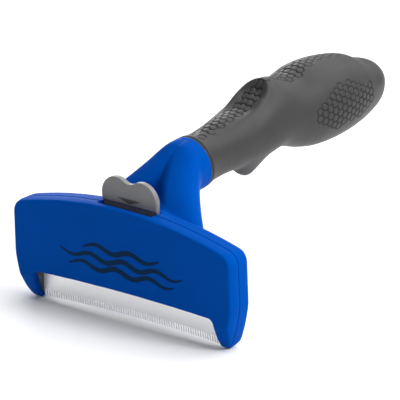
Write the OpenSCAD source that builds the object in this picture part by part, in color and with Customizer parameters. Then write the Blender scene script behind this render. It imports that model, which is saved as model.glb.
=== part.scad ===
// Deshedding tool: a wide toothed blade in a two-part head, a spring-returned hair ejector,
// and a soft grip on a rigid core. Teeth point down, the handle runs back from the head.
// The origin is the centre of the flat front face.

/* [Head] */
// Overall width of the head
head_w = 124.4; // [118:0.2:132]
// Thickness of the head, front face to back
head_d = 12.5; // [12.5:0.1:14]
// Height of the head from the lug tips to the top at the middle
head_h = 52; // [50:0.5:56]
// Radius of the long arc along the top
top_r = 227; // [200:1:280]
// Wall thickness of both covers
wall = 2.1; // [1.8:0.1:2.2]
// Depth of the joint line between the two covers
seam_y = 5.5; // [5.3:0.1:5.6]

/* [Blade] */
// Width of the toothed edge
blade_w = 101.6; // [96:0.2:102]
// Thickness of the blade
blade_t = 1; // [0.8:0.1:1]
// Number of teeth
teeth = 74; // [40:1:90]
// Depth of the gaps between teeth
tooth_depth = 2.4; // [1.5:0.1:3]

/* [Ejector] */
// Travel of the ejector
stroke = 10; // [6:0.5:10]
// Width of the push tab
tab_w = 29.4; // [26:0.2:30]
// Thickness of the push tab
tab_t = 2.8; // [2.4:0.1:2.8]

/* [Handle] */
// Radius of the collar where the handle meets the neck
collar_r = 12; // [11.6:0.1:12.4]
// Distance from the front face to the collar
collar_y = 46; // [44:0.5:48]
// Upward tilt of the handle's core in degrees
handle_tilt = 6.2; // [5.5:0.1:7]

/* [Hidden] */
$fn = 48;

blue = "royalblue";
dark = "dimgray";
steel = "silver";

// Heights in the modules are counted from the lug tips, and the origin is this far above them.
origin_h = 33;

half_w = head_w / 2;
corner_r = 6;          // top corners of the head
lug_x = 52.3;          // inner face of each end lug
lug_foot = 3;          // flat width at each lug's tip
lug_curve_h = 21;      // height at which the lug's outer curve meets the side
curve_power = 1.5;     // 1 is a round lower corner, and more cuts it off straighter
face_inset = 1;        // the front and back faces are this much smaller all round
face_step = 1.2;       // depth of that smaller band
front_foot = 4;        // lugs of the front face end this far above the tips
lug_front = [[0, 11], [1.2, 7.6], [2.5, 4.5], [3.8, 2.2], [5, 0.5]]; // [y, height] down its front
window_h = 13.6;       // lower edge of the front face at its ends
window_rise = 1.2;     // and how much higher it is at the middle
back_edge_h = 9;       // lower edge of the back wall
cavity_x = 56.5;       // half width of the hollow above the blade
cavity_step_h = 27;    // the hollow is narrower below this height
clear = 0.3;           // room left round a moving piece
beyond = 1;            // cutting shapes stand out this far

blade_y = 5.9;         // front of the blade
blade_top_h = 25;
tip_h = 1;             // tooth tips at the blade's ends
tip_rise = 1.4;        // tooth tips are this much higher at the middle
blade_screw_xs = [-40, -18, 18, 40];
blade_screw_r = 1;
blade_screw_head = [1.8, 0.4];  // radius and height
clamp_h = 22.6;        // height of the clamp strip's middle
clamp_x = 49;          // half its length
clamp_w = 4;
clamp_t = 1;
carrier_y = blade_y + blade_t;
carrier_top_h = 26;
cheek_t = 1.1;         // end cheeks of the carrier, beside the blade
cheek_foot = 3;        // they reach down to here
cheek_top = 20;
lip_h = 2;             // the carrier shows this much below the back wall

plate_y = 2.6;         // front of the ejector plate and wiper
plate_t = 2.1;
plate_top_h = 49;
stem_x = 13;           // half width of the plate's stem
arm_x = 32;            // half width across the plate's arms
arm_low_h = 44;
arm_top_h = 48;
wiper_t = 2.8;
wiper_low_h = 13.9;
wiper_top_h = 20;
wiper_x = 50.3;
wiper_screw_xs = [-9, 9];
tab_y = 6.2;           // front of the push tab, behind the joint line
tab_low_h = 44;
tab_shoulder_h = 52.5; // the tab's straight sides end here
lobe_x = 7.6;          // middles of the tab's two rounded lobes
lobe_r = tab_w / 2 - lobe_x;
lobe_top_h = 63.7;
dip_depth = 2.1;       // the dip between the lobes
pad_x = 12;            // half width of the plate's pad behind the tab
button_screw_xs = [-8, 8];
button_screw_h = 46;
button_screw_r = 1;
small_screw_len = 2;   // how far the ejector's screws reach into the second piece
wiper_screw_r = 0.8;
wiper_screw_h = wiper_low_h + 4;
web_t = 1;             // the plate's thin end, in front of the wiper
web_low_h = wiper_low_h + 1.5;

spring_x = 28;
spring_y = 8.2;
spring_r = 1.9;        // outer radius of the return springs
spring_wire = 0.6;     // wall of that tube
spring_low_h = carrier_top_h;
spring_high_h = 44;
shelf_t = 2;           // shelf of the plate on top of each spring
post_r = 0.8;
post_low_h = 20;
post_high_h = spring_high_h - stroke;

cover_screw_at = [[46, 39], [57, 20]];  // from the middle, and above the lug tips
cover_screw_r = 1.25;
boss_r = 3.2;
screw_head_r = 2.4;
screw_head_t = 1.8;
screw_sink = 3.4;      // depth of the counterbores
drive_w = 0.6;         // cross recess in the screw heads
drive_len = 3.2;
drive_depth = 0.8;

collar_h = 60.3;       // height of the collar's centre above the lug tips
ring_t = 0.8;
spigot_r = 6;
spigot_len = 26;
core_r = 9.2;          // outside of the core's socket
core_socket_len = 34;
core_mid_r = 6.5;
core_len = 100;
bore_reach = 40;       // longer than the handle is thick
pin_s = 14;            // the cross pin's distance behind the collar
pin_r = 1.5;

sides = 32;            // sides of the neck and grip surfaces
neck_step = 2;
grip_step = 3.5;

// Neck sections from the collar forward:
// [y, half width, mid height, half height, depth of the front valley, half width of the valley]
neck_rows = [
  [6, 44, 31, 16, 8, 16],
  [12.5, 38, 32.5, 17, 14, 15],
  [20, 30.5, 39, 18, 22, 14],
  [26, 23.5, 46, 16, 16, 11],
  [32, 17.5, 53, 13.8, 8, 7.5],
  [38, 12.9, 58.8, 12.4, 1.2, 5],
  [43, 12, 60, 12, 0, 5],
  [46.5, 12, 60.3, 12, 0, 5]
];

// Grip sections: [y, height of the middle, half width, rise to the top, drop to the bottom]
grip_rows = [
  [46.8, 60.4, 11.9, 11.9, 11.9],
  [52, 61, 11.1, 11, 11],
  [60, 61.8, 11.2, 11.6, 10.9],
  [66, 62.5, 11.8, 12.3, 11.4],
  [72, 63.3, 12.4, 12.9, 15.4],
  [78, 64, 13, 14, 17],
  [84, 65, 13.8, 16.4, 15],
  [90, 65.8, 14.3, 18.2, 12.6],
  [96, 66.5, 14.8, 18.2, 12.6],
  [102, 66.9, 15.6, 16.6, 14.6],
  [108, 67.1, 16.8, 16.3, 16.8],
  [116, 67.2, 18.2, 18, 18.5],
  [126, 67.3, 18.8, 18, 18.7],
  [136, 67.1, 17.8, 17, 17.6],
  [144, 66.9, 16, 15.2, 15.9],
  [151, 66.6, 14, 13.6, 14.2],
  [156, 66.5, 12, 12, 12.4],
  [160, 66.4, 8.7, 8.8, 9],
  [162, 66.4, 5.2, 5.4, 5.5],
  [163, 66.4, 1.2, 1.2, 1.2]
];

// Points along an arc
function arc(cx, cy, rx, ry, a0, a1, n) =
  [for (i = [0:n]) let (a = a0 + (a1 - a0) * i / n) [cx + rx * cos(a), cy + ry * sin(a)]];

// Lower outer corner of the head, from the lug's tip up to the side
function lower_corner(cx, cy, rx, ry, n) =
  [for (i = [0:n]) let (a = 90 * i / n, s = pow(sin(a), curve_power), c = pow(cos(a), curve_power))
    [cx + rx * s, cy - ry * c]];

// The same points on the other side of the middle, in reverse order
function mirrored(pts) = [for (i = [len(pts) - 1:-1:0]) [-pts[i][0], pts[i][1]]];

// Outline of the head, seen from the front
function head_outline(inset, foot) =
  let (
    side = half_w - inset,
    r = corner_r,
    top = head_h - inset,
    cx = side - r,
    arc_z = top - top_r,
    cz = arc_z + sqrt(pow(top_r - r, 2) - cx * cx),
    meet = atan2(cz - arc_z, cx),
    toe = lug_x + lug_foot - 2 * inset,
    right = concat(
      [[lug_x - 0.01, foot]],
      lower_corner(toe, lug_curve_h, side - toe, lug_curve_h - foot, 12),
      arc(cx, cz, r, r, 0, meet, 8)
    )
  )
  concat(right, arc(0, arc_z, top_r, top_r, meet + 1, 179 - meet, 24), mirrored(right));

// Height of the tooth tips
function tip_edge(x) = tip_h + tip_rise * (1 - pow(2 * x / blade_w, 2));

// Value of column k of a table at y, on a smooth curve through its rows
function slope(t, i, k) =
  let (a = max(i - 1, 0), b = min(i + 1, len(t) - 1)) (t[b][k] - t[a][k]) / (t[b][0] - t[a][0]);
function row_of(t, y, i = 0) = i >= len(t) - 2 || y < t[i + 1][0] ? i : row_of(t, y, i + 1);
function smooth(t, y, k) =
  let (
    i = row_of(t, y),
    h = t[i + 1][0] - t[i][0],
    u = (y - t[i][0]) / h,
    m0 = slope(t, i, k) * h,
    m1 = slope(t, i + 1, k) * h
  )
  t[i][k] * (2 * pow(u, 3) - 3 * u * u + 1) + m0 * (pow(u, 3) - 2 * u * u + u)
  + t[i + 1][k] * (3 * u * u - 2 * pow(u, 3)) + m1 * (pow(u, 3) - u * u);

// Stations of a table from its first row to its last
function stations(t, step) =
  let (y0 = t[0][0], y1 = t[len(t) - 1][0], n = ceil((y1 - y0) / step))
  [for (i = [0:n]) y0 + (y1 - y0) * i / n];

// One ring of the neck
function neck_ring(y) =
  let (
    a = smooth(neck_rows, y, 1),
    zm = smooth(neck_rows, y, 2),
    b = smooth(neck_rows, y, 3),
    dip = max(smooth(neck_rows, y, 4), 0),
    w = smooth(neck_rows, y, 5)
  )
  [for (i = [0:sides - 1]) let (t = 360 * i / sides, x = a * cos(t), s = sin(t))
    [x, y, zm + b * s - dip * max(s, 0) * exp(-pow(x / w, 2))]];

// One ring of the grip, leaning with the collar at its front end
function grip_ring(y) =
  let (
    zm = smooth(grip_rows, y, 1),
    a = smooth(grip_rows, y, 2),
    up = smooth(grip_rows, y, 3),
    down = smooth(grip_rows, y, 4),
    lean = tan(handle_tilt) * max(0, 1 - (y - grip_rows[0][0]) / 20)
  )
  [for (i = [0:sides - 1]) let (t = 360 * i / sides, dz = (sin(t) > 0 ? up : down) * sin(t))
    [a * cos(t), y - lean * dz, zm + dz]];

// Closed surface through a list of rings
module skin(rings) {
  n = len(rings[0]);
  m = len(rings);
  points = [for (ring = rings, p = ring) p];
  walls = [for (j = [0:m - 2], i = [0:n - 1]) let (k = (i + 1) % n)
    each [[j * n + i, j * n + k, (j + 1) * n + k], [j * n + i, (j + 1) * n + k, (j + 1) * n + i]]];
  ends = [[for (i = [n - 1:-1:0]) i], [for (i = [0:n - 1]) (m - 1) * n + i]];
  polyhedron(points, concat(walls, ends));
}

// Heights above the lug tips become heights about the origin
module seat() {
  translate([0, 0, -origin_h]) children();
}

// A flat shape drawn as (x, height), standing between two depths
module slab(y0, y1) {
  translate([0, y1, 0]) rotate([90, 0, 0]) linear_extrude(y1 - y0) children();
}

// A flat shape drawn as (y, height), running across the head
module across() {
  rotate([90, 0, 90]) children();
}

// A cylinder running back from depth y0 to y1
module rod(x, h, r, y0, y1) {
  translate([x, y0, h]) rotate([-90, 0, 0]) cylinder(r = r, h = y1 - y0);
}

// The handle's axis, starting at the collar's centre and pointing back
module on_handle(s = 0) {
  translate([0, collar_y, collar_h]) rotate([handle_tilt, 0, 0]) translate([0, s, 0])
    rotate([-90, 0, 0]) children();
}

module each_side() {
  for (m = [0, 1]) mirror([m, 0, 0]) children();
}

module each_cover_screw() {
  each_side() for (p = cover_screw_at) translate([p[0], 0, p[1]]) children();
}

// Open space between the lugs, seen from the front
module window(edge_h, rise) {
  n = 24;
  top = [for (i = [0:n]) let (x = lug_x * (1 - 2 * i / n)) [x, edge_h + rise * (1 - pow(x / lug_x, 2))]];
  polygon(concat([[-lug_x, -5], [lug_x, -5]], top));
}

// The lugs' fronts curve back towards their tips
module lug_relief() {
  last = lug_front[len(lug_front) - 1];
  profile = concat(lug_front, [[last[0], -beyond], [-beyond, -beyond], [-beyond, lug_front[0][1]]]);
  across() linear_extrude(head_w + 2 * beyond, center = true) polygon(profile);
}

// Hollow between the two covers, seen from the front
module hollow() {
  n = 24;
  r = top_r - wall;
  function roof(x) = head_h - wall - 0.4 - (r - sqrt(r * r - x * x));
  top = [for (i = [0:n]) let (x = cavity_x * (1 - 2 * i / n)) [x, roof(x) - (abs(x) > 55 ? 3 : 0)]];
  polygon(concat([[-lug_x, 0], [lug_x, 0], [lug_x, cavity_step_h], [cavity_x, cavity_step_h]],
    top, [[-cavity_x, cavity_step_h], [-lug_x, cavity_step_h]]));
}

module tab_slot() {
  translate([-tab_w / 2 - clear, tab_y - clear, arm_top_h - beyond])
    cube([tab_w + 2 * clear, tab_t + 2 * clear, head_h]);
}

module front_cover() {
  color(blue) seat() difference() {
    union() {
      slab(0, face_step) polygon(head_outline(face_inset, front_foot));
      difference() {
        slab(face_step, seam_y) polygon(head_outline(0, 0));
        slab(wall, seam_y + beyond) hollow();
      }
      each_cover_screw() rod(0, 0, boss_r, wall / 2, seam_y);
    }
    slab(-beyond, seam_y + beyond) window(window_h, window_rise);
    lug_relief();
    each_cover_screw() rod(0, 0, cover_screw_r, wall, seam_y + beyond);
  }
}

module rear_housing() {
  color(blue) seat() difference() {
    union() {
      slab(seam_y, head_d - face_step) polygon(head_outline(0, 0));
      slab(head_d - face_step, head_d) polygon(head_outline(2 * face_inset, front_foot));
      difference() {
        skin([for (y = stations(neck_rows, neck_step)) neck_ring(y)]);
        on_handle() cylinder(r = 2 * collar_r, h = collar_r);
      }
      on_handle(-2) cylinder(r = spigot_r, h = spigot_len + 2);
    }
    slab(seam_y - beyond, head_d - wall) hollow();
    slab(0, head_d + beyond) window(back_edge_h, 0);
    slab(-beyond, seam_y) translate([-half_w, 0]) square([head_w, 2 * head_h]);
    tab_slot();
    each_cover_screw() {
      rod(0, 0, cover_screw_r + 0.2, 0, head_d + beyond);
      rod(0, 0, screw_head_r + 0.2, head_d - screw_sink, head_d + beyond);
    }
    on_handle(pin_s) rotate([0, 90, 0]) cylinder(r = pin_r, h = bore_reach, center = true);
  }
}

// Plastic bed for the blade, with a thin cheek at each end of the window
module blade_carrier() {
  front = wall + clear;
  back = head_d - wall;
  x = lug_x - 0.1;
  foot = back_edge_h - lip_h;
  cheek = [
    [front, cheek_top], [front, window_h - beyond], [blade_y - clear, cheek_foot],
    [carrier_y + beyond, cheek_foot], [back, foot], [back, cheek_top]
  ];
  color(dark) seat() difference() {
    union() {
      translate([-x, carrier_y, foot]) cube([2 * x, back - carrier_y, carrier_top_h - foot]);
      each_side() translate([x - cheek_t, 0, 0]) across() linear_extrude(cheek_t) polygon(cheek);
    }
    for (x = blade_screw_xs) rod(x, clamp_h, blade_screw_r, 0, head_d);
    each_side() translate([spring_x, spring_y, post_low_h]) cylinder(r = post_r, h = carrier_top_h);
  }
}

// Steel blade with a row of square teeth along a shallow arc
module blade() {
  pitch = blade_w / teeth;
  w = pitch * 0.5;
  edge = [for (i = [0:teeth - 1]) let (x = -blade_w / 2 + i * pitch, z = tip_edge(x + pitch / 2))
    each [[x + 0.01, z], [x + w, z], [x + w, z + tooth_depth], [x + pitch, z + tooth_depth]]];
  color(steel) seat() difference() {
    slab(blade_y, blade_y + blade_t)
      polygon(concat(edge, [[blade_w / 2, blade_top_h], [-blade_w / 2, blade_top_h]]));
    for (x = blade_screw_xs) rod(x, clamp_h, blade_screw_r + 0.1, 0, head_d);
  }
}

module blade_clamp() {
  color(steel) seat() difference() {
    translate([-clamp_x, blade_y - clamp_t, clamp_h - clamp_w / 2])
      cube([2 * clamp_x, clamp_t, clamp_w]);
    for (x = blade_screw_xs) rod(x, clamp_h, blade_screw_r + 0.1, 0, head_d);
  }
}

module blade_screws() {
  color(steel) seat() for (x = blade_screw_xs) {
    rod(x, clamp_h, blade_screw_r, blade_y - clamp_t, head_d - wall);
    rod(x, clamp_h, blade_screw_head[0], blade_y - clamp_t - blade_screw_head[1], blade_y - clamp_t);
  }
}

module cover_screws() {
  color(steel) seat() each_cover_screw() difference() {
    union() {
      rod(0, 0, cover_screw_r, wall + clear, head_d - screw_sink);
      rod(0, 0, screw_head_r, head_d - screw_sink, head_d - screw_sink + screw_head_t);
    }
    for (turn = [0, 90]) rotate([0, turn, 0])
      translate([-drive_len / 2, head_d - screw_sink + screw_head_t - drive_depth, -drive_w / 2])
        cube([drive_len, drive_depth + beyond, drive_w]);
  }
}

// Push tab with two rounded lobes, standing out of the head's top
module ejector_button() {
  x = tab_w / 2;
  lobe = arc(lobe_x, lobe_top_h - lobe_r, lobe_r, lobe_r, 0, 105, 10);
  low = lobe_top_h - dip_depth;
  dip = [[2, low + 0.3], [0, low], [-2, low + 0.3]];
  side = [[x, tab_low_h], [x, tab_shoulder_h]];
  color("darkgray") seat() difference() {
    slab(tab_y, tab_y + tab_t) polygon(concat(side, lobe, dip, mirrored(lobe), mirrored(side)));
    for (x = button_screw_xs) rod(x, button_screw_h, button_screw_r, 0, tab_y + small_screw_len);
  }
}

module button_screws() {
  color(steel) seat() for (x = button_screw_xs)
    rod(x, button_screw_h, button_screw_r, plate_y, tab_y + small_screw_len);
}

// Moving plate: a stem from the tab to the wiper, and two arms that push on the springs
module ejector_plate() {
  color(dark) seat() difference() {
    union() {
      slab(plate_y, plate_y + plate_t) polygon([
        [-stem_x, wiper_top_h], [stem_x, wiper_top_h], [stem_x, arm_low_h], [arm_x, arm_low_h],
        [arm_x, arm_top_h - 1.5], [stem_x, plate_top_h], [-stem_x, plate_top_h],
        [-arm_x, arm_top_h - 1.5], [-arm_x, arm_low_h], [-stem_x, arm_low_h]
      ]);
      slab(plate_y, plate_y + web_t) translate([-stem_x, web_low_h])
        square([2 * stem_x, wiper_top_h - web_low_h]);
      slab(plate_y, tab_y) translate([-pad_x, arm_low_h]) square([2 * pad_x, arm_top_h - arm_low_h]);
      each_side() translate([spring_x - 3, plate_y, spring_high_h])
        cube([6, head_d - wall - clear - plate_y, shelf_t]);
    }
    for (x = button_screw_xs) rod(x, button_screw_h, button_screw_r, 0, head_d);
    for (x = wiper_screw_xs) rod(x, wiper_screw_h, wiper_screw_r, 0, head_d);
  }
}

module wiper_bar() {
  color(dark) seat() difference() {
    translate([-wiper_x, plate_y, wiper_low_h])
      cube([2 * wiper_x, wiper_t, wiper_top_h - wiper_low_h]);
    translate([-stem_x, plate_y - web_t, web_low_h]) cube([2 * stem_x, 2 * web_t, wiper_top_h]);
    for (x = wiper_screw_xs) rod(x, wiper_screw_h, wiper_screw_r, 0, plate_y + small_screw_len);
  }
}

module wiper_screws() {
  color(steel) seat() for (x = wiper_screw_xs)
    rod(x, wiper_screw_h, wiper_screw_r, plate_y, plate_y + small_screw_len);
}

// Compression spring, as the tube that its coils fill
module return_spring(side) {
  height = spring_high_h - spring_low_h;
  color(steel) seat() translate([side * spring_x, spring_y, spring_low_h])
    difference() {
      cylinder(r = spring_r, h = height);
      translate([0, 0, -beyond]) cylinder(r = spring_r - spring_wire, h = height + 2 * beyond);
    }
}

module spring_post(side) {
  color(steel) seat() translate([side * spring_x, spring_y, post_low_h])
    cylinder(r = post_r, h = post_high_h - post_low_h);
}

module return_spring_left() return_spring(-1);
module return_spring_right() return_spring(1);
module spring_post_left() spring_post(-1);
module spring_post_right() spring_post(1);

module collar_ring() {
  color("black") seat() on_handle() difference() {
    cylinder(r = collar_r - 0.4, h = ring_t);
    translate([0, 0, -beyond]) cylinder(r = spigot_r + 0.1, h = ring_t + 2 * beyond);
  }
}

// Outside of the rigid core, as a stepped bar along the handle's axis
module core_body() {
  on_handle(ring_t) cylinder(r = core_r, h = core_socket_len);
  on_handle(ring_t + core_socket_len) cylinder(r = core_mid_r, h = core_len - core_socket_len);
}

module handle_core() {
  color(dark) seat() difference() {
    core_body();
    on_handle() cylinder(r = spigot_r, h = spigot_len);
    on_handle(pin_s) rotate([0, 90, 0]) cylinder(r = pin_r, h = bore_reach, center = true);
  }
}

module spigot_pin() {
  color(steel) seat() on_handle(pin_s) rotate([0, 90, 0])
    cylinder(r = pin_r, h = 2 * core_r - 1, center = true);
}

// Soft grip with a thumb rise, a finger stop below and a full palm
module grip() {
  color(dark) seat() difference() {
    skin([for (y = stations(grip_rows, grip_step)) grip_ring(y)]);
    core_body();
    on_handle(-5) cylinder(r = 2 * collar_r, h = 5 + ring_t);
  }
}

front_cover();
rear_housing();
blade_carrier();
blade();
blade_clamp();
blade_screws();
cover_screws();
ejector_button();
button_screws();
ejector_plate();
wiper_bar();
wiper_screws();
return_spring_left();
return_spring_right();
spring_post_left();
spring_post_right();
collar_ring();
handle_core();
spigot_pin();
grip();
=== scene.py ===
"""Looks of the deshedding tool: moulded head, toothed blade, push tab and soft textured grip.

Lengths in this script are in millimetres in the shared frame, and meshes are written in metres.
"""

import math

import bpy
import numpy as np
import openvdb
from mathutils import Matrix, Vector


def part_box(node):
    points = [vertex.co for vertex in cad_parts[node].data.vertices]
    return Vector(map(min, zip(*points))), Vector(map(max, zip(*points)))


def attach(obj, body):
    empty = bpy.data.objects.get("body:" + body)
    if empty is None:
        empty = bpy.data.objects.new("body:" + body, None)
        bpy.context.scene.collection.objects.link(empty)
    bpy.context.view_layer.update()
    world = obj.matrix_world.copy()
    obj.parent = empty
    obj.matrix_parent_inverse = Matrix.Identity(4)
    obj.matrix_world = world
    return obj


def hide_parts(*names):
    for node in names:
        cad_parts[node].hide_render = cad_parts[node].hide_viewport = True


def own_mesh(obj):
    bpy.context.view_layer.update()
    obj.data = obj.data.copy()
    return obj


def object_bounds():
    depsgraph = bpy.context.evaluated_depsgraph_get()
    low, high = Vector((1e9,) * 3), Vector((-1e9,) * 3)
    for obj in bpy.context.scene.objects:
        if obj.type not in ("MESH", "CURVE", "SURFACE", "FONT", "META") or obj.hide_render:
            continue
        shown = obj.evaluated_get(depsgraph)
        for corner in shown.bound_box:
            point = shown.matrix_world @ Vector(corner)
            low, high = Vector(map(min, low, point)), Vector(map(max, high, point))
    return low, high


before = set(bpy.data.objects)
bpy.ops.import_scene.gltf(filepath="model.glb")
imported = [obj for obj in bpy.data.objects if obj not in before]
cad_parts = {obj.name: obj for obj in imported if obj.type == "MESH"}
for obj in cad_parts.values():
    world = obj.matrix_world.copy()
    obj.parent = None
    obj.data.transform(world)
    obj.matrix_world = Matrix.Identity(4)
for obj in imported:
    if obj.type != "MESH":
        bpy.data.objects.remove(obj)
cad_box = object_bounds()

MM = 0.001


def node_box(name):
    """Lowest and highest corner of a CAD node, in millimetres."""
    low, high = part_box(name)
    return np.array(low) / MM, np.array(high) / MM


COVER_LOW, COVER_HIGH = node_box("front_cover")
TAB_LOW, TAB_HIGH = node_box("ejector_button")
BLADE_LOW, BLADE_HIGH = node_box("blade")
SPRING_LOW, SPRING_HIGH = node_box("return_spring_right")

# Head. Heights are counted from the lug tips.
TIP_Z = COVER_LOW[2]
HEAD_H = COVER_HIGH[2] - TIP_Z
HALF_W = COVER_HIGH[0]
SEAM_Y = COVER_HIGH[1]
HEAD_D = 12.5
TOP_R = 227.0
CORNER_R = 6.0
WALL = 2.1
LUG_X = 52.3
TOE_X = 55.3
SHOULDER_H = 21.0
SHOULDER_POWER = 1.5
WINDOW_H = 13.6
WINDOW_RISE = 1.2
BACK_EDGE_H = 9.0
STEP_H = 27.0
CAVITY_X = 56.5
SEAM_GAP = 0.06
FOOT_RISE = 2.6
SLOT_LOW_H = 45.0
RECESS_H = 49.9
RECESS_LIFT = 2.6
# Screws that join the covers, as (x, height), and their bosses and bores
SCREWS = [(46.0, 39.0), (57.0, 20.0)]
BOSS_R = 3.2
PILOT_R = 1.25
CLEARANCE_R = 1.5
COUNTERBORE_R = 2.7
COUNTERBORE_DEPTH = 3.4
WINDOW_X = 51.5
# The lugs' fronts curve back towards their tips, as heights and depths
RELIEF_H = [0, 0.5, 2.2, 4.5, 7.6, 11]
RELIEF_Y = [5.5, 5, 3.8, 2.5, 1.2, 0]

# Handle
COLLAR_Y = 46.0
COLLAR_H = 60.3
COLLAR_R = 12.0
TILT = math.radians(6.2)
SPIGOT_R = 6.0
SPIGOT_LEN = 26.0

# [y, half width, mid height, half height]
NECK_ROWS = np.array([
    [6, 44, 31, 15],
    [12.5, 38, 32.5, 16.5],
    [20, 30.5, 39, 17.5],
    [26, 23.5, 46, 15.8],
    [32, 17.3, 53, 13.6],
    [38, 12.8, 58.8, 12.2],
    [43, 12, 60, 12],
    [46.5, 12, 60.3, 12],
])

# The crease down the middle of the neck's front, as heights and depths
CREASE_H = [44, 47.5, 50, 52, 58, 63.8, 67.6, 70.6, 72]
CREASE_Y = [9, 12, 22, 24.8, 26.8, 30.2, 32.8, 37.8, 42]

# [y, height of the middle, half width, rise to the top, drop to the bottom]
# The rows up to y 144 were set one by one. The last three stay close to the result of a
# least-squares fit to the photo's outline, and CAP_POWER is the fit's own value.
GRIP_ROWS = np.array([
    [46.8, 60.4, 11.9, 11.9, 11.9],
    [52, 61, 11.1, 11, 11],
    [60, 61.8, 11.2, 11.6, 10.9],
    [66, 62.5, 11.8, 12.3, 11.4],
    [72, 63.3, 12.4, 12.9, 11.9],
    [78, 64, 13, 14, 12.2],
    [84, 65, 13.8, 16.4, 12.4],
    [90, 65.8, 14.3, 18.2, 12.5],
    [96, 66.5, 14.8, 18.2, 12.6],
    [102, 66.9, 15.6, 16.6, 14.6],
    [108, 67.1, 16.8, 16.3, 16.8],
    [116, 67.2, 18.2, 18, 18.5],
    [126, 67.3, 18.8, 18, 18.7],
    [136, 67.1, 17.8, 17, 17.6],
    [144, 66.9, 16, 15.2, 16],
    [151, 67.3, 14.5, 11.4, 14.6],
    [157, 67.9, 14.2, 10.4, 14.2],
    [163, 68.5, 14.2, 11, 14],
])
CAP_START, CAP_END = 145.0, 163.0
CAP_POWER = 3.0

# [y, depth of the finger stop below the grip]
STOP_ROWS = np.array([[67, 0], [71.8, 1.3], [75.6, 4.8], [80, 6.9],
                      [84, 6], [88, 3.3], [91.6, 0.8], [95, 0]])


# ---------------------------------------------------------------- shapes as distance fields

def smooth_rows(rows, y):
    """All columns of a table of stations at y, on a smooth curve through its rows."""
    y = np.atleast_1d(np.asarray(y, float))
    at, values = rows[:, 0], rows[:, 1:]
    slopes = np.gradient(values, at, axis=0, edge_order=1)
    inner = (values[2:] - values[:-2]) / (at[2:] - at[:-2])[:, None]
    slopes[1:-1] = inner
    i = np.clip(np.searchsorted(at, y, side="right") - 1, 0, len(at) - 2)
    h = (at[i + 1] - at[i])[:, None]
    u = np.clip((y - at[i])[:, None] / h, 0, 1)
    a, b = values[i], values[i + 1]
    return (a * (2 * u**3 - 3 * u**2 + 1) + slopes[i] * h * (u**3 - 2 * u**2 + u)
            + b * (3 * u**2 - 2 * u**3) + slopes[i + 1] * h * (u**3 - u**2)).T


def ease(t):
    """A smooth step from 0 to 1."""
    t = np.clip(t, 0, 1)
    return t * t * (3 - 2 * t)


def join(a, b, r):
    """Union of two fields with a fillet of radius r."""
    if r <= 0:
        return np.minimum(a, b)
    u, v = np.maximum(r - a, 0), np.maximum(r - b, 0)
    return np.maximum(r, np.minimum(a, b)) - np.sqrt(u * u + v * v)


def meet(a, b, r=0):
    """Intersection of two fields with edges rounded to radius r."""
    if r <= 0:
        return np.maximum(a, b)
    u, v = np.maximum(r + a, 0), np.maximum(r + b, 0)
    return np.minimum(-r, np.maximum(a, b)) + np.sqrt(u * u + v * v)


def cut(a, b, r=0):
    """Field a without field b, with the cut's edges rounded to radius r."""
    return meet(a, -b, r)


def arc(cx, cz, rx, rz, start, end, n):
    """Points of an elliptic arc between two angles in degrees."""
    t = np.radians(np.linspace(start, end, n + 1))
    return np.column_stack([cx + rx * np.cos(t), cz + rz * np.sin(t)])


def both_sides(right):
    """A right-hand outline, from its foot to the middle, completed on the left."""
    return np.vstack([right, (right * [-1, 1])[::-1]])


def head_outline():
    """Outline of the head seen from the front, as (x, height) points."""
    side, foot = HALF_W, 0.0
    cx = side - CORNER_R
    arc_z = HEAD_H - TOP_R
    cz = arc_z + math.sqrt((TOP_R - CORNER_R) ** 2 - cx * cx)
    lean = math.degrees(math.atan2(cz - arc_z, cx))
    t = np.radians(np.linspace(0, 90, 14))
    shoulder = np.column_stack([
        TOE_X + (side - TOE_X) * np.sin(t) ** SHOULDER_POWER,
        SHOULDER_H - (SHOULDER_H - foot) * np.cos(t) ** SHOULDER_POWER,
    ])
    right = np.vstack([
        [[LUG_X - 1, foot]],
        shoulder,
        arc(cx, cz, CORNER_R, CORNER_R, 0, lean, 10),
        arc(0, arc_z, TOP_R, TOP_R, lean + 1, 90, 18),
    ])
    return both_sides(right)


def hollow_outline():
    """Outline of the hollow between the covers."""
    r = TOP_R - WALL
    roof_gap = 0.4
    corner_x, corner_drop = 55, 3
    middle_x, middle_drop = 19, 0.5
    x = np.linspace(CAVITY_X, 0, 14)
    roof = HEAD_H - WALL - roof_gap - (r - np.sqrt(r * r - x * x)) - np.where(x > corner_x, corner_drop, 0)
    roof = roof - np.where(x < middle_x, middle_drop, 0)
    inner_x = WINDOW_X - 0.5
    lug_top = 11.5
    low = [[inner_x, -2], [inner_x, lug_top], [LUG_X, lug_top], [LUG_X, STEP_H], [CAVITY_X, STEP_H]]
    right = np.vstack([low, np.column_stack([x, roof])])
    return both_sides(right)


def polygon_field(x, h, points):
    """Signed distance from a grid of (x, height) to a closed outline."""
    px, ph = np.meshgrid(x, h, indexing="ij")
    nearest = np.full(px.shape, np.inf)
    inside = np.zeros(px.shape, bool)
    for (ax, az), (bx, bz) in zip(points, np.roll(points, -1, axis=0)):
        ex, ez = bx - ax, bz - az
        size = ex * ex + ez * ez
        if size < 1e-12:
            continue
        t = np.clip(((px - ax) * ex + (ph - az) * ez) / size, 0, 1)
        nearest = np.minimum(nearest, (px - ax - t * ex) ** 2 + (ph - az - t * ez) ** 2)
        if az != bz:
            crosses = (az > ph) != (bz > ph)
            inside ^= crosses & (px < ax + (ph - az) * ex / ez)
    return np.where(inside, -1, 1) * np.sqrt(nearest)


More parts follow.
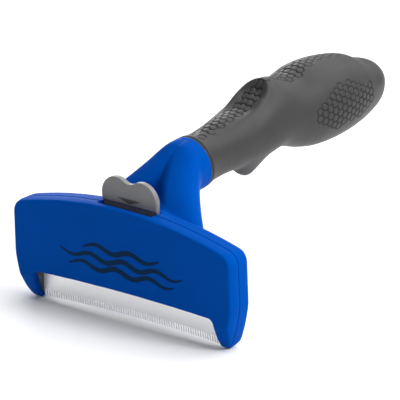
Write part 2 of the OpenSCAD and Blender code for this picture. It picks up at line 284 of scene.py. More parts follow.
class Grid:
    """A box of sample points. x, y and h broadcast against each other."""

    def __init__(self, low, high, step):
        self.low, self.step = np.array(low, float), step
        ranges = [np.arange(a, b + step, step) for a, b in zip(low, high)]
        self.ax, self.ay, self.ah = ranges
        self.x = ranges[0][:, None, None].astype(np.float32)
        self.y = ranges[1][None, :, None].astype(np.float32)
        self.h = ranges[2][None, None, :].astype(np.float32)

    def outline(self, points):
        return polygon_field(self.ax, self.ah, points)[:, None, :].astype(np.float32)


def surface_mesh(name, grid, field):
    """Closed mesh of the surface where a field is zero."""
    band = 3 * grid.step
    shape = np.broadcast_shapes(field.shape, (grid.ax.size, grid.ay.size, grid.ah.size))
    values = np.clip(np.broadcast_to(field, shape), -band, band).astype(np.float32)
    volume = openvdb.FloatGrid(band)
    volume.copyFromArray(np.ascontiguousarray(values))
    points, triangles, quads = volume.convertToPolygons(0.0, 0.0)
    points = points * grid.step + grid.low
    points[:, 2] += TIP_Z
    faces = [tuple(f[::-1]) for f in triangles] + [tuple(f[::-1]) for f in quads]
    return new_piece(name, points, faces)


def new_piece(name, points, faces, smooth=True):
    """A mesh object from points in millimetres."""
    mesh = bpy.data.meshes.new(name)
    mesh.from_pydata([tuple(p) for p in np.asarray(points, float) * MM], [], faces)
    mesh.validate()
    mesh.update()
    mesh.polygons.foreach_set("use_smooth", [smooth] * len(mesh.polygons))
    piece = bpy.data.objects.new(name, mesh)
    bpy.context.scene.collection.objects.link(piece)
    return piece


# ---------------------------------------------------------------- head

def window_edge(x):
    """Height of the bowed upper edge of the opening between the lugs."""
    return WINDOW_H + WINDOW_RISE * (1 - (x / LUG_X) ** 2)


def window_field(g, edge, corner_r):
    """The open space between the lugs."""
    return meet(np.abs(g.x) - WINDOW_X, g.h - edge, corner_r)


def slot_field(g):
    """Slot in the head's top for the push tab."""
    gap = 0.3
    mid = (TAB_LOW[1] + TAB_HIGH[1]) / 2
    half = (TAB_HIGH[1] - TAB_LOW[1]) / 2 + gap
    sides = meet(np.abs(g.x) - TAB_HIGH[0] - gap, np.abs(g.y - mid) - half, 0.3)
    return meet(sides, SLOT_LOW_H - g.h)


def rod_field(g, x, h, r, y0, y1):
    """A pair of round rods along y, at x and -x."""
    round_part = np.sqrt((np.abs(g.x) - x) ** 2 + (g.h - h) ** 2) - r
    return meet(round_part, np.maximum(y0 - g.y, g.y - y1))


def shell_field(g):
    """The head's outer form over its whole depth."""
    front_draft, front_run = 0.6, 3
    back_draft, back_start = 0.5, 9
    foot_start, foot_power = 6, 1.6
    slope = 0.85
    draft = front_draft * np.clip(1 - g.y / front_run, 0, 1)
    draft = draft + back_draft * np.clip((g.y - back_start) / (HEAD_D - back_start), 0, 1) ** 2
    sides = g.outline(head_outline()) + draft
    foot = FOOT_RISE * np.clip((g.y - foot_start) / (HEAD_D - foot_start), 0, 1) ** foot_power
    body = meet(sides, slope * (foot - g.h), 1.0)
    front = np.interp(g.ah, RELIEF_H, RELIEF_Y)[None, None, :].astype(np.float32)
    return meet(body, slope * (front - g.y), 0.9)


def recess_field(g):
    """Everything above the shallow dip in the head's top, round the tab's slot."""
    front_y, front_run = 1.4, 3.8
    back_y, back_run = 9.6, 1.6
    side_gap, side_run = 0.1, 0.9
    front = 1 - ease((g.y - front_y) / front_run)
    back = ease((g.y - back_y) / back_run)
    side = ease((np.abs(g.x) - TAB_HIGH[0] - side_gap) / side_run)
    rise = np.maximum(np.maximum(front, back), side)
    return 0.8 * (RECESS_H + RECESS_LIFT * rise - g.h)


def front_cover():
    g = Grid((-HALF_W - 1, -1, -1), (HALF_W + 1, SEAM_Y + 1, HEAD_H + 1), 0.35)
    body = meet(shell_field(g), g.y - SEAM_Y + SEAM_GAP)
    body = cut(body, recess_field(g), 0.5)
    body = cut(body, window_field(g, window_edge(g.x), 3.0), 0.5)
    hollow = meet(g.outline(hollow_outline()), WALL - g.y)
    body = cut(body, hollow)
    for x, h in SCREWS:
        body = join(body, rod_field(g, x, h, BOSS_R, WALL - 0.5, SEAM_Y - SEAM_GAP), 0)
        body = cut(body, rod_field(g, x, h, PILOT_R, WALL, SEAM_Y + 1))
    body = cut(body, slot_field(g), 0.4)
    return surface_mesh("front_cover_shell", g, body)


def neck_field(g):
    """The neck from the back of the head to the collar, with a valley down its front."""
    a, mid, b = (v[None, :, None].astype(np.float32) for v in smooth_rows(NECK_ROWS, g.ay))
    f = np.sqrt((g.x / a) ** 2 + ((g.h - mid) / b) ** 2) - 1
    gx, gy, gh = np.gradient(f, g.step)
    field = f / np.sqrt(gx**2 + gy**2 + gh**2 + 1e-9)
    deep = np.interp(g.ah, CREASE_H, CREASE_Y)[None, None, :].astype(np.float32)
    flank = 0.9
    sharp = 0.35
    wall = deep - flank * (np.sqrt(g.x**2 + sharp**2) - sharp)
    field = meet(field.astype(np.float32), (wall - g.y) / math.hypot(1, flank), 1.8)
    return meet(field, NECK_ROWS[0, 0] - g.y)


def along_handle(g):
    """Distance along the handle's axis from the collar, and away from the axis."""
    y, h = g.y - COLLAR_Y, g.h - COLLAR_H
    s = y * math.cos(TILT) + h * math.sin(TILT)
    up = -y * math.sin(TILT) + h * math.cos(TILT)
    return s, np.sqrt(g.x**2 + up**2)


def rear_housing():
    step = 0.45
    high_y = COLLAR_Y + SPIGOT_LEN + 2
    g = Grid((-HALF_W - 1, SEAM_Y - 1, -1), (HALF_W + 1, high_y, COLLAR_H + COLLAR_R + 2), step)
    head = meet(shell_field(g), g.y - HEAD_D, 1.5)
    s, away = along_handle(g)
    neck = meet(neck_field(g), s, 0.5)
    body = join(cut(head, recess_field(g), 0.5), neck, 3.5)
    body = join(body, meet(away - SPIGOT_R, np.maximum(s - SPIGOT_LEN, -2 - s), 0), 0)
    body = meet(body, SEAM_Y + SEAM_GAP - g.y)
    hollow = meet(g.outline(hollow_outline()), g.y - HEAD_D + WALL)
    body = cut(body, hollow)
    body = cut(body, window_field(g, np.float32(BACK_EDGE_H), 3.0), 0.8)
    body = cut(body, slot_field(g), 0.4)
    for x, h in SCREWS:
        body = cut(body, rod_field(g, x, h, CLEARANCE_R, 0, HEAD_D + 1))
        counterbore = rod_field(g, x, h, COUNTERBORE_R, HEAD_D - COUNTERBORE_DEPTH, HEAD_D + 1)
        body = cut(body, counterbore, 0.4)
    return surface_mesh("rear_housing_shell", g, body)


def tab_outline():
    """Push tab with two rounded lobes, as (x, height) points."""
    half = TAB_HIGH[0]
    lobe_x = 7.2
    lobe_r = 8.5
    top = TAB_HIGH[2] - TIP_Z
    foot = TAB_LOW[2] - TIP_Z
    t = np.linspace(0, 1, 9)[1:]
    start = arc(lobe_x, top - lobe_r, lobe_r, lobe_r, 0, 112, 16)
    last = start[-1]
    low = top - 2.1
    dip = np.column_stack([last[0] * (1 - t), low + (last[1] - low) * (1 - t) ** 2])
    return both_sides(np.vstack([[[half, foot]], start, dip]))


# Right half of the arrow engraved in the tab, as (x, height) points
ARROW = np.array([[0, 52.6], [7.4, 54.9], [3.2, 55.0]])


def tab_arrow_shade():
    """Dark piece in the bottom of the tab's engraved arrow, which shows the way to push. Its colour is
    painted shade of the engraving.
    """
    outline = both_sides(ARROW * [0.97, 1] + [0, 0.02])
    y0, y1 = TAB_LOW[1] + 0.2, TAB_LOW[1] + 0.45
    n = len(outline)
    points = [(x, y0, h + TIP_Z) for x, h in outline] + [(x, y1, h + TIP_Z) for x, h in outline]
    faces = [tuple(range(n)), tuple(range(2 * n - 1, n - 1, -1))]
    faces += [(i, i + n, (i + 1) % n + n, (i + 1) % n) for i in range(n)]
    return new_piece("tab_arrow_shade", points, faces, smooth=False)


def ejector_button():
    g = Grid((-16, TAB_LOW[1] - 1, 42), (16, TAB_HIGH[1] + 1, 66), 0.22)
    front, back = TAB_LOW[1], TAB_HIGH[1]
    body = meet(meet(g.outline(tab_outline()), front - g.y, 0.55), g.y - back, 0.55)
    band_top, band_low = 52.5, 51.5
    slope = np.clip((band_top - g.h) / (band_top - band_low), 0, 1)
    body = meet(body, front + 0.8 * slope - g.y, 0.15)
    arrow = g.outline(both_sides(ARROW))
    body = cut(body, meet(arrow, g.y - front - 0.3), 0.05)
    return surface_mesh("ejector_button_cap", g, body)


# ---------------------------------------------------------------- blade

TEETH = 74
TOOTH_SHARE = 0.52
TOOTH_DEPTH = 3.0
TIP_RISE = 1.4
TIP_TAPER = 0.3
TOOTH_START = 0.02
EDGE_BAND = 6


def blade_columns():
    """Where the blade's outline turns along its length: both sides of each tooth, and the far end."""
    left, right = BLADE_LOW[0], BLADE_HIGH[0]
    pitch = (right - left) / TEETH
    columns = []
    for i in range(TEETH):
        x = left + i * pitch
        columns += [x + TOOTH_START, x + pitch * TOOTH_SHARE]
    return columns + [right]


def blade_points(columns):
    """The blade's points, and for each column the number of its first point at each of four levels."""
    front, back = BLADE_LOW[1], BLADE_HIGH[1]
    half = (BLADE_HIGH[0] - BLADE_LOW[0]) / 2
    points, rows = [], []
    for x in columns:
        tip = BLADE_LOW[2] + TIP_RISE * (1 - (x / half) ** 2)
        root = tip + TOOTH_DEPTH
        row = []
        for z, taper in ((tip, TIP_TAPER), (root, 0.0), (root + EDGE_BAND, 0.0), (BLADE_HIGH[2], 0.0)):
            row.append(len(points))
            points.append((x, front + taper, z))
            points.append((x, back - taper, z))
        rows.append(row)
    return points, rows


def side_face(row, k, flip):
    """The face across the blade's thickness in one column, between levels k and k + 1."""
    side = (row[k], row[k + 1], row[k + 1] + 1, row[k] + 1)
    return side[::-1] if flip else side


def blade_faces(rows):
    """The blade's faces, and the numbers of those that are the flanks of teeth."""
    faces, flanks = [], []
    last = len(rows) - 1
    for i in range(last):
        here, ahead = rows[i], rows[i + 1]
        tooth = i % 2 == 0
        foot = 0 if tooth else 1
        for k in range(foot, 3):
            a, b, c, d = here[k], ahead[k], ahead[k + 1], here[k + 1]
            faces.append((a, b, c, d))
            faces.append((d + 1, c + 1, b + 1, a + 1))
        faces.append((here[foot] + 1, ahead[foot] + 1, ahead[foot], here[foot]))
        faces.append((here[3], ahead[3], ahead[3] + 1, here[3] + 1))
        if tooth:
            flanks += [len(faces), len(faces) + 1]
            faces += [side_face(here, 0, False), side_face(ahead, 0, True)]
    for row, flip in ((rows[0], False), (rows[last], True)):
        faces += [side_face(row, 1, flip), side_face(row, 2, flip)]
    return faces, flanks


def blade():
    """Blade with square teeth that thin out towards their tips."""
    points, rows = blade_points(blade_columns())
    faces, flanks = blade_faces(rows)
    piece = new_piece("toothed_blade", points, faces, smooth=False)
    # The flanks of the teeth take the second material, dark steel painted as shade between the teeth.
    for k in flanks:
        piece.data.polygons[k].material_index = 1
    return piece


# ---------------------------------------------------------------- grip

PITCH = 3.25
GROOVE_HALF = 0.36
GROOVE_DEPTH = 0.55
CELL_R = 0.485 * PITCH

# The dish for the thumb with its raised rim, and the finger stop below
DISH_Y = 84.5
DISH_DEPTH = 2.2
DISH_R = 2.9
DISH_FADE = 4.5
RIM_RISE = 0.9
RIM_R = 8.0
RIM_WIDTH = 1.5
STOP_WIDTH = 6.2

# The shallow line moulded across the top near the grip's end
SLIT_Y = 158.6
SLIT_HALF_WIDTH = 0.8
SLIT_HALF_LENGTH = 4.0
SLIT_DEPTH = 1.1

BODY_RINGS, CAP_RINGS, GRIP_COLUMNS = 279, 65, 288

# Where the middles of the engraved cells lie, as outlines of (y, distance round the grip)
COLLAR_REGION = np.array([[49.5, -3.4], [57, -3.4], [57, 3.4], [49.5, 3.4]])
THUMB_REGION = np.array([[56, -1.8], [60, -3.5], [88, -3.8], [93, -2.2], [93, 2.2], [88, 3.8],
                         [60, 3.5], [56, 1.8]])
PALM_REGION = np.array([[97, -1.7], [99, -3.6], [104, -5.1], [114, -5.1], [121, -3.5], [127, -2.1],
                        [143, -1.9], [143, 1.9], [127, 2.1], [121, 3.5], [114, 5.1], [104, 5.1],
                        [99, 3.6], [97, 1.7]])
SIDE_REGION = np.array([[108, -2.0], [108, 2.8], [120, 9.9], [133, 9.9], [144, 4.8], [144, -1.6],
                        [138, -6.4], [129, -7.6], [120, -8.6], [112, -4.6]])


def inside_region(u, v, region):
    """Whether points lie inside a closed outline."""
    inside = np.zeros(np.broadcast(u, v).shape, bool)
    for (ay, av), (by, bv) in zip(region, np.roll(region, -1, axis=0)):
        if av != bv:
            crosses = (av > v) != (bv > v)
            inside ^= crosses & (u < ay + (v - av) * (by - ay) / (bv - av))
    return inside


def rounded_hexagon(u, v):
    """Distance from a cell's centre, the same all round a hexagon with rounded corners."""
    reach = math.sqrt(3) / 2 * u
    total = np.abs(v) ** 8 + np.abs(reach + v / 2) ** 8 + np.abs(reach - v / 2) ** 8
    return total ** 0.125


def cell_groove(u, v, region):
    """How deep the cells with their middles in the region are at (u, v), from 0 to 1."""
    across = PITCH * math.sqrt(3) / 2
    best = np.full(u.shape, 9.0)
    column = np.round(u / across)
    for shift in (-1, 0, 1):
        c = column + shift
        offset = np.where(np.mod(c, 2) == 0, 0.0, PITCH / 2)
        row = np.round((v - offset) / PITCH)
        for lift in (-1, 0, 1):
            cu, cv = c * across, (row + lift) * PITCH + offset
            kept = inside_region(cu, cv, region)
            d = np.abs(rounded_hexagon(u - cu, v - cv) - CELL_R)
            best = np.minimum(best, np.where(kept, d, 9.0))
    return ease(1 - best / GROOVE_HALF)


def thumb_rest(x, y):
    """Height of the rim round the thumb's dish, less the dish."""
    along = ease((y - 60) / 24)
    away = np.hypot(x, np.maximum(0, y - DISH_Y))
    dish = DISH_DEPTH * along * (1 - ease((away - DISH_R) / DISH_FADE))
    rim = RIM_RISE * along * ease((98 - y) / 6) * np.exp(-(((away - RIM_R) / RIM_WIDTH) ** 2))
    return rim - dish


def stop_depth(y):
    """Depth of the finger stop in the middle of the grip's underside."""
    depth = smooth_rows(STOP_ROWS, y.ravel()).reshape(y.shape)
    within = (y > STOP_ROWS[0, 0]) & (y < STOP_ROWS[-1, 0])
    return np.maximum(np.where(within, depth, 0), 0)


def grip_surface(y, phi):
    """Points of the plain grip at stations y and angles phi, both two-dimensional arrays."""
    mid, half, up, down = (v.reshape(y.shape) for v in smooth_rows(GRIP_ROWS, y.ravel()))
    t = (np.maximum(y, CAP_START) - CAP_START) / (CAP_END - CAP_START)
    cap = np.sqrt(np.clip(1 - t**CAP_POWER, 0, 1))
    half, up, down = half * cap, up * cap, down * cap
    s = np.sin(phi)
    x = half * np.cos(phi)
    rise = np.where(s > 0, up, down) * s
    rise = rise + ease(s / 0.5) * thumb_rest(x, y)
    rise = rise + np.minimum(s, 0) * stop_depth(y) * np.exp(-((x / STOP_WIDTH) ** 2))
    lean = math.tan(TILT) * np.maximum(0, 1 - (y - GRIP_ROWS[0, 0]) / 20)
    return np.stack([x, y - lean * rise, mid + rise + TIP_Z], axis=-1), half


def grip_grid():
    """Stations and angles of the grip's points. The angles are wider apart on the underside."""
    body = np.linspace(GRIP_ROWS[0, 0] + 0.15, CAP_START, BODY_RINGS)
    t = np.linspace(0, math.pi / 2, CAP_RINGS + 2)[1:-1]
    stations = np.concatenate([body, CAP_START + (CAP_END - CAP_START) * np.sin(t)])
    turn = np.linspace(-math.pi / 2, 1.5 * math.pi, 2000)
    crowd = np.cumsum(0.45 + 0.55 * ease((np.sin(turn) + 0.9) / 0.4))
    even = np.linspace(crowd[0], crowd[-1], GRIP_COLUMNS, endpoint=False)
    return np.meshgrid(stations, np.interp(even, crowd, turn), indexing="ij")


def outward(points):
    """Normals of a grid of rings, turned away from the rings' middles."""
    ahead = np.roll(points, -1, 1) - np.roll(points, 1, 1)
    along = np.gradient(points, axis=0)
    normal = np.cross(ahead, along)
    normal /= np.linalg.norm(normal, axis=-1, keepdims=True) + 1e-12
    out = points - points.mean(axis=1, keepdims=True)
    normal *= np.sign((normal * out).sum(-1, keepdims=True)).mean()
    return normal


def wrap(angle):
    """The same angle between -pi and pi."""
    return (angle + math.pi) % (2 * math.pi) - math.pi


def engraving(y, phi, half):
    """How deep the engraved cells are all over the grip, from 0 to 1."""
    top, right, left = (wrap(angle) * half for angle in (phi - math.pi / 2, phi, math.pi - phi))
    groove = cell_groove(y, top, THUMB_REGION)
    for across, region in ((top, PALM_REGION), (right, SIDE_REGION), (left, SIDE_REGION)):
        groove = np.maximum(groove, cell_groove(y, across, region))
    broken = np.sin(1.9 * y + 0.9 * top) > -0.1
    return np.maximum(groove, cell_groove(y, top, COLLAR_REGION) * broken)


def end_slit(x, y, phi):
    """How deep the line near the grip's end is, from 0 to 1."""
    across = ease((SLIT_HALF_LENGTH - np.abs(x)) / 0.6)
    return ease(1 - np.abs(y - SLIT_Y) / SLIT_HALF_WIDTH) * across * (np.sin(phi) > 0)


def tube_faces(rings, n):
    """Faces of a tube of rings of n points, closed by one more point behind and one in front."""
    faces = []
    for j in range(rings - 1):
        for i in range(n):
            k = (i + 1) % n
            faces.append((j * n + i, j * n + k, (j + 1) * n + k, (j + 1) * n + i))
    base, tip, front = (rings - 1) * n, rings * n, rings * n + 1
    for i in range(n):
        k = (i + 1) % n
        faces.append((base + i, base + k, tip))
        faces.append((k, i, front))
    return [f[::-1] for f in faces]


def grip():
    """Soft grip with engraved cells, and how engraved each point is, for the material's painted shade in the
    grooves.
    """
    y, phi = grip_grid()
    points, half = grip_surface(y, phi)
    groove = engraving(y, phi, half)
    slit = end_slit(points[..., 0], y, phi)
    edge = ease(1 - (y - GRIP_ROWS[0, 0]) / 0.7)
    depth = GROOVE_DEPTH * groove + SLIT_DEPTH * slit + 0.4 * edge**2
    points = points - outward(points) * depth[..., None]
    ends = [[0, CAP_END, GRIP_ROWS[-1, 1] + TIP_Z], points[0].mean(0)]
    flat = np.vstack([points.reshape(-1, 3), ends])
    piece = new_piece("soft_grip", flat, tube_faces(*y.shape))
    # The groove attribute marks the engraved cells and the end slit, which the rubber darkens as painted
    # shade.
    mark = piece.data.attributes.new("groove", "FLOAT", "POINT")
    mark.data.foreach_set("value", np.append(np.maximum(groove, slit).ravel(), [0, 0]).astype(np.float32))
    return piece


# ---------------------------------------------------------------- small pieces

def handle_matrix():
    """From the handle's own frame, with z along its axis, to the shared frame, in millimetres."""
    centre = Vector((0, COLLAR_Y, COLLAR_H + TIP_Z))
    return Matrix.Translation(centre) @ Matrix.Rotation(TILT, 4, "X") @ Matrix.Rotation(-math.pi / 2, 4, "X")


def lathe(name, profile, matrix):
    """A closed ring from a closed profile of (radius, z) points."""
    points, faces = [], []
    n, sides = len(profile), 96
    for i in range(sides):
        t = 2 * math.pi * i / sides
        points += [tuple(matrix @ Vector((r * math.cos(t), r * math.sin(t), z))) for r, z in profile]
    for i in range(sides):
        for j in range(n):
            a, b = i * n + j, i * n + (j + 1) % n
            c, d = ((i + 1) % sides) * n + (j + 1) % n, ((i + 1) % sides) * n + j
            faces.append((a, b, c, d))
    return new_piece(name, points, faces)


def collar_ring():
    outer, inner, t = COLLAR_R - 0.25, SPIGOT_R + 0.1, 0.8
    rim = arc(outer - 0.3, t / 2, 0.3, t / 2 - 0.02, -90, 90, 8)
    profile = [(inner, 0.02)] + [tuple(p) for p in rim] + [(inner, t - 0.02)]
    return lathe("collar_trim_ring", profile, handle_matrix())


def coil_spring(name, x):
    """Helical spring with a closed turn at each end."""
    radius, wire, turns, ring = 1.6, 0.28, 7, 8
    y = (SPRING_LOW[1] + SPRING_HIGH[1]) / 2
    low, high = SPRING_LOW[2] + wire, SPRING_HIGH[2] - wire
    steps = turns * 24
    points, faces = [], []
    for i in range(steps + 1):
        u = i / steps
        t = 2 * math.pi * turns * u
        z = low + (high - low) * (ease(u) * 0.25 + u * 0.75)
        centre = Vector((x + radius * math.cos(t), y + radius * math.sin(t), float(z)))
        out = Vector((math.cos(t), math.sin(t), 0))
        for k in range(ring):
            w = 2 * math.pi * k / ring
            points.append(tuple(centre + out * wire * math.cos(w) + Vector((0, 0, wire * math.sin(w)))))
    for i in range(steps):
        for k in range(ring):
            m = (k + 1) % ring
            faces.append((i * ring + k, (i + 1) * ring + k, (i + 1) * ring + m, i * ring + m))
    faces.append(tuple(range(ring)))
    faces.append(tuple(steps * ring + k for k in range(ring - 1, -1, -1)))
    return new_piece(name, points, faces)


def ribbon(name, centre_line, widths, y_front, y_back):
    """A thin raised mark that follows a line of (x, height) points on the front face."""
    line = np.asarray(centre_line, float)
    run = np.gradient(line, axis=0)
    side = np.column_stack([-run[:, 1], run[:, 0]]) / np.linalg.norm(run, axis=1)[:, None]
    edge_a, edge_b = line + side * widths[:, None], line - side * widths[:, None]
    points, faces = [], []
    for a, b in zip(edge_a, edge_b):
        for p, y in ((a, y_front), (b, y_front), (b, y_back), (a, y_back)):
            points.append((p[0], y, p[1] + TIP_Z))
    last = len(line) - 1
    for i in range(last):
        for k in range(4):
            m = (k + 1) % 4
            faces.append((i * 4 + k, i * 4 + m, (i + 1) * 4 + m, (i + 1) * 4 + k))
    faces.append((3, 2, 1, 0))
    faces.append(tuple(last * 4 + k for k in range(4)))
    return new_piece(name, points, [f[::-1] for f in faces], smooth=False)


def front_mark():
    """Generic printed strokes: three wavy hairs of different lengths."""
    pieces = []
    t = np.linspace(0, 1, 60)
    for i, (half, h) in enumerate(((22.0, 32.2), (35.0, 27.6), (30.0, 23.4))):
        x = half * (2 * t - 1)
        wave = 1.2 * np.sin(2 * math.pi * (x + 4 * i) / 19)
        widths = 1.15 * np.sin(math.pi * np.clip(t, 0.02, 0.98)) ** 0.4
        pieces.append(ribbon(f"front_mark_{i + 1}", np.column_stack([x, h + wave]), widths, -0.03, 0.3))
    return pieces


# ---------------------------------------------------------------- materials

def new_material(name):
    material = bpy.data.materials.new(name)
    material.use_nodes = True
    nodes, links = material.node_tree.nodes, material.node_tree.links
    shader = nodes["Principled BSDF"]
    place = nodes.new("ShaderNodeTexCoord")
    return material, nodes, links, shader, place.outputs["Object"]


def noise(nodes, links, place, scale, detail=3.0, stretch=None):
    texture = nodes.new("ShaderNodeTexNoise")
    texture.inputs["Scale"].default_value = scale
    texture.inputs["Detail"].default_value = detail
    if stretch:
        mapping = nodes.new("ShaderNodeMapping")
        mapping.inputs["Scale"].default_value = stretch
        links.new(place, mapping.inputs["Vector"])
        place = mapping.outputs["Vector"]
    links.new(place, texture.inputs["Vector"])
    return texture.outputs["Fac"]


def ramp(nodes, links, fac, stops):
    node = nodes.new("ShaderNodeValToRGB")
    elements = node.color_ramp.elements
    while len(elements) < len(stops):
        elements.new(0.5)
    for element, (at, colour) in zip(elements, stops):
        element.position = at
        element.color = (*colour, 1)
    links.new(fac, node.inputs["Fac"])
    return node.outputs["Color"]


def spread(nodes, links, fac, low, high):
    node = nodes.new("ShaderNodeMapRange")
    node.inputs["To Min"].default_value = low
    node.inputs["To Max"].default_value = high
    links.new(fac, node.inputs["Value"])
    return node.outputs["Result"]


def bump(nodes, links, height, strength, distance):
    node = nodes.new("ShaderNodeBump")
    node.inputs["Strength"].default_value = strength
    node.inputs["Distance"].default_value = distance
    links.new(height, node.inputs["Height"])
    return node.outputs["Normal"]


def tint(colour, share):
    return tuple(min(1.0, c * share) for c in colour)


def moulded_plastic(name, colour, rough, gloss=0.4, sheen=(1, 1, 1)):
    """Moulded plastic with a fine spark-eroded grain and faint flow marks."""
    material, nodes, links, shader, place = new_material(name)
    vary, grain = 0.05, 0.00004
    flow = noise(nodes, links, place, 24, 4)
    stops = [(0.3, tint(colour, 1 - vary)), (0.7, tint(colour, 1 + vary))]
    links.new(ramp(nodes, links, flow, stops), shader.inputs["Base Color"])
    fine = noise(nodes, links, place, 2600, 2)
    uneven = noise(nodes, links, place, 180, 3)
    links.new(spread(nodes, links, uneven, *rough), shader.inputs["Roughness"])
    links.new(bump(nodes, links, fine, 0.35, grain), shader.inputs["Normal"])
    shader.inputs["Specular IOR Level"].default_value = gloss
    shader.inputs["Specular Tint"].default_value = (*sheen, 1)
    return material


def soft_rubber(name, colour, groove_shade_colour):
    """Matte overmoulded rubber, with painted shade darkening its engraved cells and end slit."""
    material, nodes, links, shader, place = new_material(name)
    mottle = noise(nodes, links, place, 60, 4)
    base = ramp(nodes, links, mottle, [(0.3, tint(colour, 0.93)), (0.7, tint(colour, 1.07))])
    # Painted shade: the mix turns the engraved cells and the slit near black.
    mark = nodes.new("ShaderNodeAttribute")
    mark.attribute_name = "groove"
    mix = nodes.new("ShaderNodeMix")
    mix.data_type = "RGBA"
    links.new(mark.outputs["Fac"], mix.inputs["Factor"])
    links.new(base, mix.inputs[6])
    mix.inputs[7].default_value = (*groove_shade_colour, 1)
    links.new(mix.outputs[2], shader.inputs["Base Color"])
    uneven = noise(nodes, links, place, 300, 3)
    links.new(spread(nodes, links, uneven, 0.44, 0.54), shader.inputs["Roughness"])
    fine = noise(nodes, links, place, 3200, 2)
    links.new(bump(nodes, links, fine, 0.4, 0.00005), shader.inputs["Normal"])
    shader.inputs["Specular IOR Level"].default_value = 0.32
    return material


def brushed_steel(name, colour, rough=(0.24, 0.38), stretch=(1, 40, 40), metal=1.0):
    """Steel with fine grinding lines."""
    material, nodes, links, shader, place = new_material(name)
    lines = noise(nodes, links, place, 260, 4, stretch)
    stops = [(0.25, tint(colour, 0.96)), (0.75, tint(colour, 1.03))]
    links.new(ramp(nodes, links, lines, stops), shader.inputs["Base Color"])
    links.new(spread(nodes, links, lines, *rough), shader.inputs["Roughness"])
    links.new(bump(nodes, links, lines, 0.25, 0.00002), shader.inputs["Normal"])
    shader.inputs["Metallic"].default_value = metal
    return material


def pale_floor(name):
    material, nodes, links, shader, place = new_material(name)
    soft = noise(nodes, links, place, 3, 2)
    stops = [(0.3, (0.92, 0.92, 0.92)), (0.7, (0.94, 0.94, 0.94))]
    links.new(ramp(nodes, links, soft, stops), shader.inputs["Base Color"])
    shader.inputs["Roughness"].default_value = 0.9
    return material


def paint(piece, material):
    piece.data.materials.clear()
    piece.data.materials.append(material)


# ---------------------------------------------------------------- assembly

def add(piece, body, slot, material, *nodes):
    """Puts a piece on its body, in place of CAD nodes, with its finish."""
    paint(piece, material)
    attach(piece, body)
    if nodes:
        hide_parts(*nodes)
    return piece


def build():
    blue = moulded_plastic("blue_shell", (0.0, 0.063, 0.355), (0.34, 0.44), gloss=0.01, sheen=(0.0, 0.5, 1))
    grey = moulded_plastic("grey_tab", (0.185, 0.185, 0.188), (0.38, 0.48))
    dark = moulded_plastic("dark_inner_plastic", (0.075, 0.075, 0.08), (0.45, 0.55))
    # Dark trim of the collar ring, also used as painted shade in the tab's arrow.
    trim = moulded_plastic("dark_trim_and_arrow_shade", (0.045, 0.035, 0.033), (0.4, 0.5))
    ink = moulded_plastic("navy_print", (0.0, 0.016, 0.05), (0.45, 0.55), gloss=0.1, sheen=(0.05, 0.4, 1))
    # The rubber's second colour is painted shade in its grooves.
    rubber = soft_rubber("grip_rubber", (0.033, 0.0323, 0.0333), (0.004, 0.004, 0.004))
    edge_steel = brushed_steel("blade_steel", (0.96, 0.96, 0.96), (0.42, 0.46), (40, 40, 1), metal=0.85)
    # Dark steel on the flanks of the teeth is painted shade between the teeth.
    flank_shade_steel = brushed_steel("tooth_flank_painted_shade", (0.08, 0.08, 0.08), (0.42, 0.46), (40, 40, 1),
                                metal=0.6)
    hardware = brushed_steel("plated_steel", (0.5, 0.5, 0.5))

    add(front_cover(), "tool", "blue_plastic", blue, "front_cover")
    add(rear_housing(), "tool", "blue_plastic", blue, "rear_housing")
    toothed = add(blade(), "tool", "blade_steel", edge_steel, "blade")
    toothed.data.materials.append(flank_shade_steel)
    add(grip(), "tool", "soft_grip", rubber, "grip")
    add(collar_ring(), "tool", "trim_plastic", trim, "collar_ring")
    add(ejector_button(), "ejector", "grey_plastic", grey, "ejector_button")
    # The arrow's dark piece is painted shade in the engraving.
    add(tab_arrow_shade(), "ejector", "trim_plastic", trim)
    for mark in front_mark():
        add(mark, "tool", "trim_plastic", ink)
    add_springs(hardware)
    paint_kept_nodes(dark, hardware)


def add_springs(hardware):
    """Two coil springs on the tool, in place of the CAD return springs."""
    spring_x = (SPRING_LOW[0] + SPRING_HIGH[0]) / 2
    for side, x in (("left", -spring_x), ("right", spring_x)):
        spring = add(coil_spring(f"coil_spring_{side}", x), "tool", "hardware_steel", hardware,
                     f"return_spring_{side}")
        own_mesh(spring)


def paint_kept_nodes(dark, hardware):
    """Finishes of the CAD nodes that are shown as they are."""
    kept = {
        "blade_carrier": dark, "ejector_plate": dark, "wiper_bar": dark, "handle_core": dark,
        "blade_clamp": hardware, "blade_screws": hardware, "cover_screws": hardware,
        "button_screws": hardware, "wiper_screws": hardware, "spigot_pin": hardware,
        "spring_post_left": hardware, "spring_post_right": hardware,
    }
    for name, material in kept.items():
        paint(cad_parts[name], material)


# ---------------------------------------------------------------- camera, light and floor

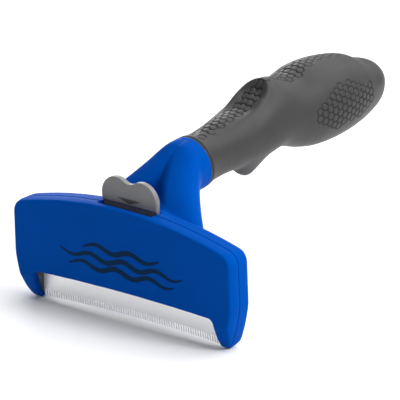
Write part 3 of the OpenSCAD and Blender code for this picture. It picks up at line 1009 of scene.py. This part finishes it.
def camera():
    azimuth, elevation, roll = math.radians(42.75), math.radians(19.44), math.radians(-2.0)
    target = Vector((0, 50.6, 9.2)) * MM
    distance = 6.5
    width_seen = 0.17003
    back = Vector((math.sin(azimuth) * math.cos(elevation), -math.cos(azimuth) * math.cos(elevation),
                   math.sin(elevation)))
    right = Vector((math.cos(azimuth), math.sin(azimuth), 0))
    up = back.cross(right)
    turned = right * math.cos(roll) + up * math.sin(roll)
    up = back.cross(turned)
    data = bpy.data.cameras.new("camera")
    data.lens = data.sensor_width * distance / width_seen
    eye = bpy.data.objects.new("camera", data)
    place = Matrix((turned, up, back)).transposed().to_4x4()
    place.translation = target + back * distance
    eye.matrix_world = place
    bpy.context.scene.collection.objects.link(eye)
    bpy.context.scene.camera = eye


def area_light(name, place, target, size, power):
    data = bpy.data.lights.new(name, "AREA")
    data.shape = "DISK"
    data.size = size
    data.energy = power
    lamp = bpy.data.objects.new(name, data)
    lamp.location = place
    direction = Vector(target) - Vector(place)
    lamp.rotation_euler = direction.to_track_quat("-Z", "Y").to_euler()
    bpy.context.scene.collection.objects.link(lamp)


def studio():
    scene = bpy.context.scene
    scene.view_settings.view_transform = "Standard"
    world = bpy.data.worlds.new("studio")
    world.use_nodes = True
    world.node_tree.nodes["Background"].inputs["Color"].default_value = (1, 1, 1, 1)
    world.node_tree.nodes["Background"].inputs["Strength"].default_value = 0.26
    scene.world = world
    # The powers 5.4, 3.0 and 7.0 come from a least-squares solve against colours of the photo
    middle = (0, 0.06, 0.02)
    area_light("soft_light_above", (0.15, 0.6, 1.3), middle, 2.2, 28)
    area_light("soft_light_right", (1.25, 0.45, 0.8), middle, 1.8, 5.4)
    area_light("soft_light_back", (-0.2, 1.7, 0.6), middle, 1.4, 3.0)
    area_light("soft_light_front", (-0.7, -1.3, 0.6), middle, 1.4, 0.6)
    area_light("small_light_right", (1.0, 0.15, 0.75), middle, 0.35, 7.0)
    area_light("rim_light_left", (-0.9, 0.8, 0.45), middle, 0.5, 4)
    reach = 12.0 / MM
    z = cad_box[0][2] / MM
    corners = [(-reach, -reach, z), (reach, -reach, z), (reach, reach, z), (-reach, reach, z)]
    floor = new_piece("floor", corners, [(0, 1, 2, 3)])
    paint(floor, pale_floor("pale_floor"))


camera()
build()
studio()
